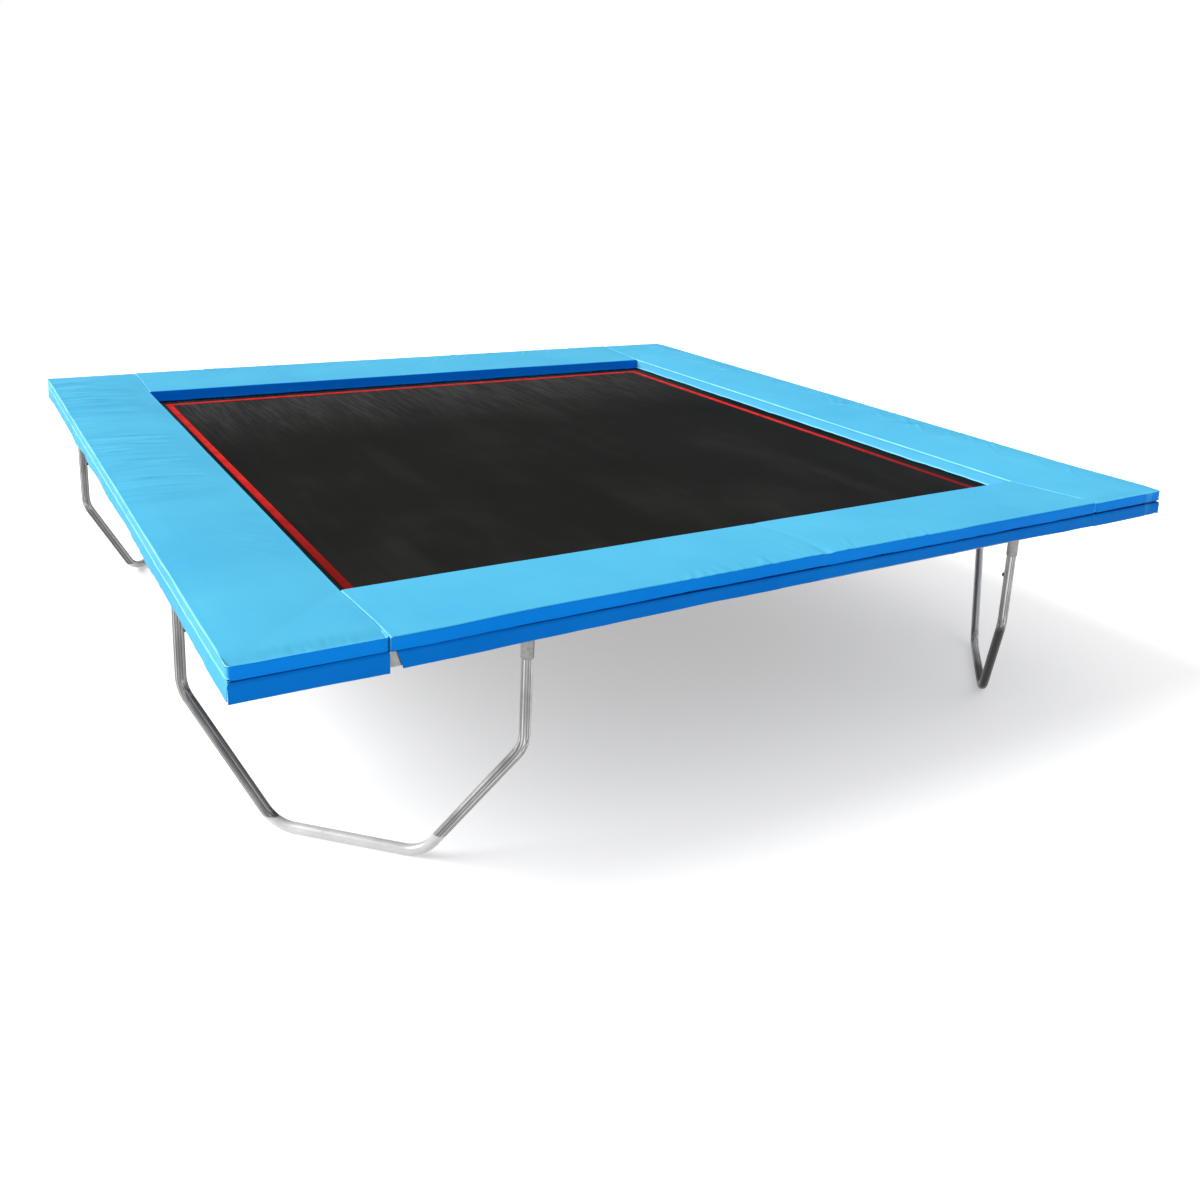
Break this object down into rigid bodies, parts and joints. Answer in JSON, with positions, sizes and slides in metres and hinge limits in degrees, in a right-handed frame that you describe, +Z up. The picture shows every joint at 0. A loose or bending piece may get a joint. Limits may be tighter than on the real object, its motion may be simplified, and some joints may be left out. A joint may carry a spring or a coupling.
{
  "type": "trampoline",
  "caption": "Large square backyard trampoline: box-section frame on bent tube legs, woven bed with a red band hung on coil springs, padded vinyl edge covers.",
  "frame": {"origin": "centre of the square footprint, on the floor", "axes": "+Z up, +X along the front side to the right, +Y towards the back"},
  "size_m": [3.66, 3.63, 0.856],
  "materials": {
    "galvanised_steel": "galvanised, dull",
    "zinc_steel": "bright zinc",
    "dark_steel": "black",
    "bed_weave": "woven black polypropylene",
    "bed_webbing": "black webbing",
    "band_webbing": "red webbing",
    "pad_vinyl": "glossy bright blue coated vinyl",
    "skirt_vinyl": "blue coated vinyl",
    "pad_foam": "white closed-cell foam",
    "strap_webbing": "black webbing"
  },
  "bodies": {
    "frame": {"rail_front_right": "galvanised_steel", "rail_front_left": "galvanised_steel", "rail_right_back": "galvanised_steel", "rail_right_front": "galvanised_steel", "rail_back_left": "galvanised_steel", "rail_back_right": "galvanised_steel", "rail_left_front": "galvanised_steel", "rail_left_back": "galvanised_steel", "corner_front_right": "galvanised_steel", "corner_back_right": "galvanised_steel", "corner_back_left": "galvanised_steel", "corner_front_left": "galvanised_steel", "rail_sleeves": "galvanised_steel", "frame_screws": "zinc_steel", "leg_sockets": "galvanised_steel", "leg_stop_bolts": "dark_steel", "leg_front_right": "galvanised_steel", "leg_back_right": "galvanised_steel", "leg_back_left": "galvanised_steel", "leg_front_left": "galvanised_steel", "springs_front": "zinc_steel", "springs_right": "zinc_steel", "springs_back": "zinc_steel", "springs_left": "zinc_steel", "pad_cover_front": "pad_vinyl", "pad_cover_right": "pad_vinyl", "pad_cover_back": "pad_vinyl", "pad_cover_left": "pad_vinyl", "pad_foam_front": "pad_foam", "pad_foam_right": "pad_foam", "pad_foam_back": "pad_foam", "pad_foam_left": "pad_foam", "skirt_front": "skirt_vinyl", "skirt_right": "skirt_vinyl", "skirt_back": "skirt_vinyl", "skirt_left": "skirt_vinyl", "skirt_ends": "skirt_vinyl", "pad_straps": "strap_webbing"},
    "bed": {"jumping_bed": "bed_weave", "bed_hem": "bed_webbing", "bed_band": "band_webbing", "ring_tabs_front": "bed_webbing", "ring_tabs_right": "bed_webbing", "ring_tabs_back": "bed_webbing", "ring_tabs_left": "bed_webbing", "v_rings_front": "zinc_steel", "v_rings_right": "zinc_steel", "v_rings_back": "zinc_steel", "v_rings_left": "zinc_steel"}
  },
  "joints": [
    {"name": "bed_bounce", "type": "slide", "parent": "frame", "child": "bed", "axis": [0, 0, -1], "range_m": [0, 0.4], "stiffness_N_per_m": 5000, "springref_m": -0.05, "deforming": ["springs_front", "springs_right", "springs_back", "springs_left"]}
  ]
}
